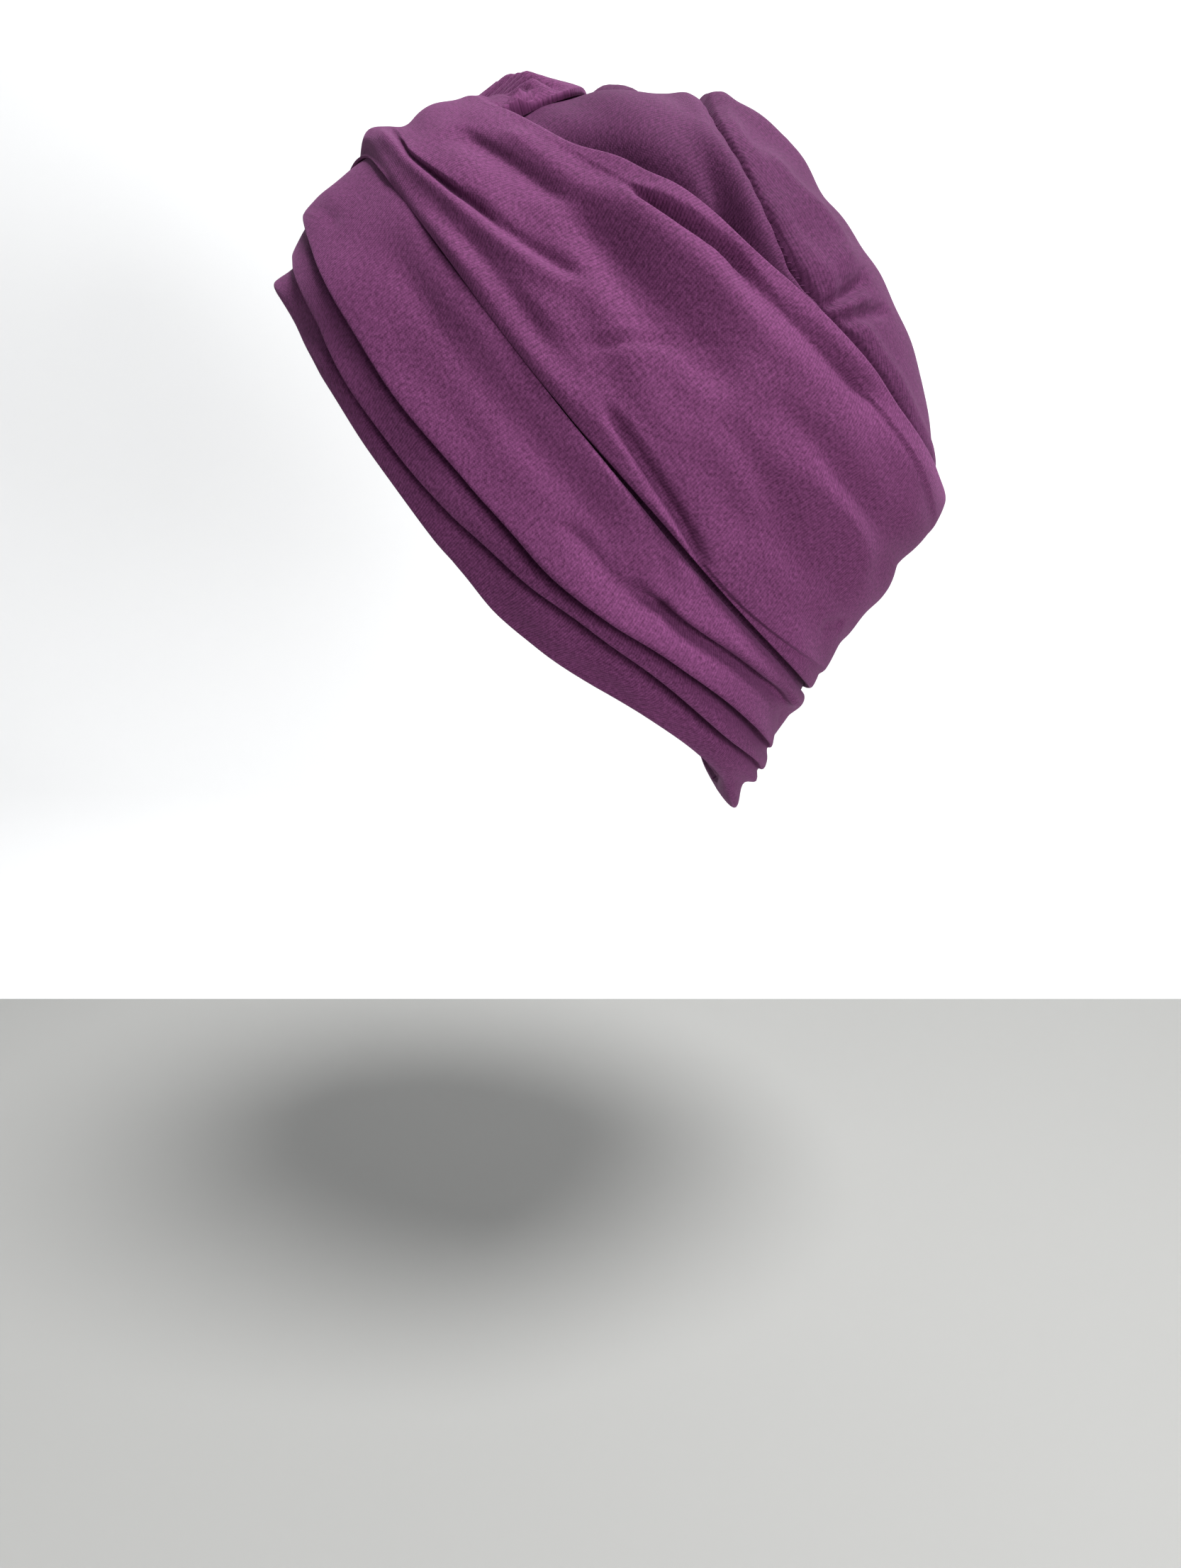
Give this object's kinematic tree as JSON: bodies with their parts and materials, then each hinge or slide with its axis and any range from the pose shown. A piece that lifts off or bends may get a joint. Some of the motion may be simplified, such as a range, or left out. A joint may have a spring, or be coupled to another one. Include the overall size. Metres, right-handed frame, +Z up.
{
  "type": "draped turban beanie",
  "caption": "Soft jersey beanie in the turban style: a seamed cap wrapped by pleated bands that cross over the forehead and meet at the nape.",
  "frame": {"origin": "centre of the head opening on the hat's mid plane, where the head holds it", "axes": "+Z up as worn, -Y toward the face, +X toward the wearer's left"},
  "size_m": [0.1754, 0.204, 0.2177],
  "materials": {
    "crown_jersey": "fine plum jersey, matt with a soft sheen",
    "hem_jersey": "fine plum jersey, turned hem, matt",
    "wrap_jersey": "fine plum jersey, pleated, soft sheen"
  },
  "bodies": {
    "root": {"crown_top": "crown_jersey", "crown_side": "crown_jersey", "hem_band": "hem_jersey", "wrap_left": "wrap_jersey", "wrap_right": "wrap_jersey"}
  },
  "joints": []
}
